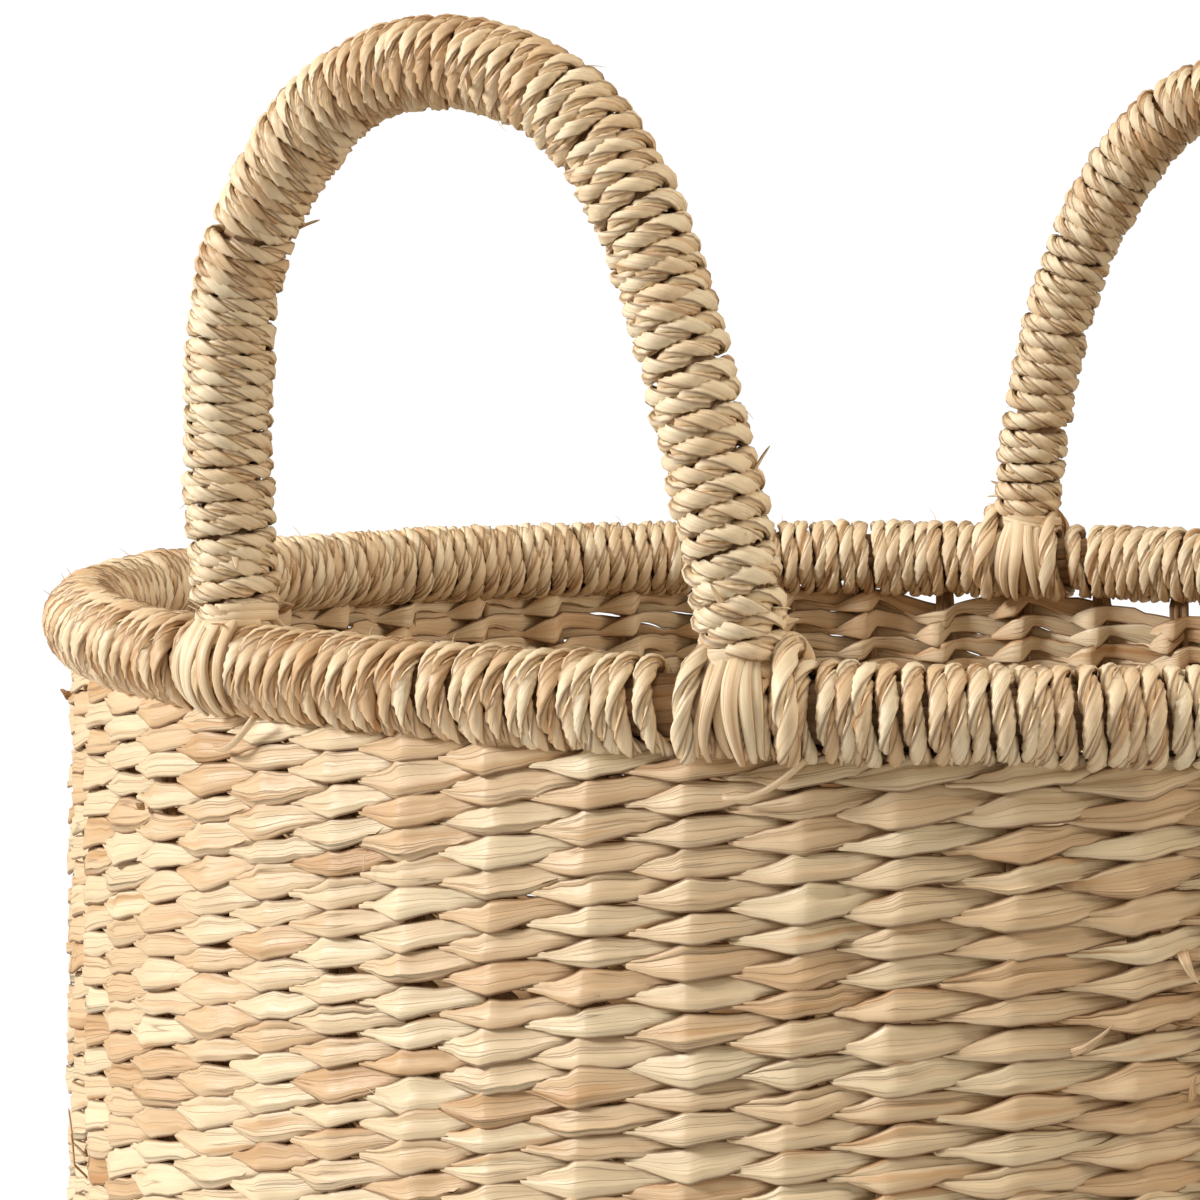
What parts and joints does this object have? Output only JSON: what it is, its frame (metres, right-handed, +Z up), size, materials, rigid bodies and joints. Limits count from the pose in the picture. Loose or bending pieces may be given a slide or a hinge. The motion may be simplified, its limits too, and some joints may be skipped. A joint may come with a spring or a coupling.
{
  "type": "laundry basket",
  "caption": "Oval woven straw laundry basket with open top, cord-wrapped rim and upright loop handles.",
  "frame": {"origin": "centre of the basket's outline, on the surface that it stands on", "axes": "+Z up, X along the long way of the oval, handles at -Y (front) and +Y (back)"},
  "size_m": [0.4456, 0.39, 0.5208],
  "materials": {
    "woven_leaf": "matt",
    "twisted_cord": "matt",
    "stake_fibre": "matt",
    "bent_rod": "matt"
  },
  "bodies": {
    "root": {"base_mat": "woven_leaf", "wall_weave": "woven_leaf", "stake_01": "stake_fibre", "stake_02": "stake_fibre", "stake_03": "stake_fibre", "stake_04": "stake_fibre", "stake_05": "stake_fibre", "stake_06": "stake_fibre", "stake_07": "stake_fibre", "stake_08": "stake_fibre", "stake_09": "stake_fibre", "stake_10": "stake_fibre", "stake_11": "stake_fibre", "stake_12": "stake_fibre", "stake_13": "stake_fibre", "stake_14": "stake_fibre", "stake_15": "stake_fibre", "stake_16": "stake_fibre", "stake_17": "stake_fibre", "stake_18": "stake_fibre", "stake_19": "stake_fibre", "stake_20": "stake_fibre", "stake_21": "stake_fibre", "stake_22": "stake_fibre", "stake_23": "stake_fibre", "stake_24": "stake_fibre", "stake_25": "stake_fibre", "stake_26": "stake_fibre", "stake_27": "stake_fibre", "stake_28": "stake_fibre", "rim_hoop": "bent_rod", "rim_wrap": "twisted_cord", "front_handle_rod": "bent_rod", "front_handle_wrap": "twisted_cord", "front_left_lashing": "twisted_cord", "front_right_lashing": "twisted_cord", "back_handle_rod": "bent_rod", "back_handle_wrap": "twisted_cord", "back_left_lashing": "twisted_cord", "back_right_lashing": "twisted_cord"}
  },
  "joints": []
}
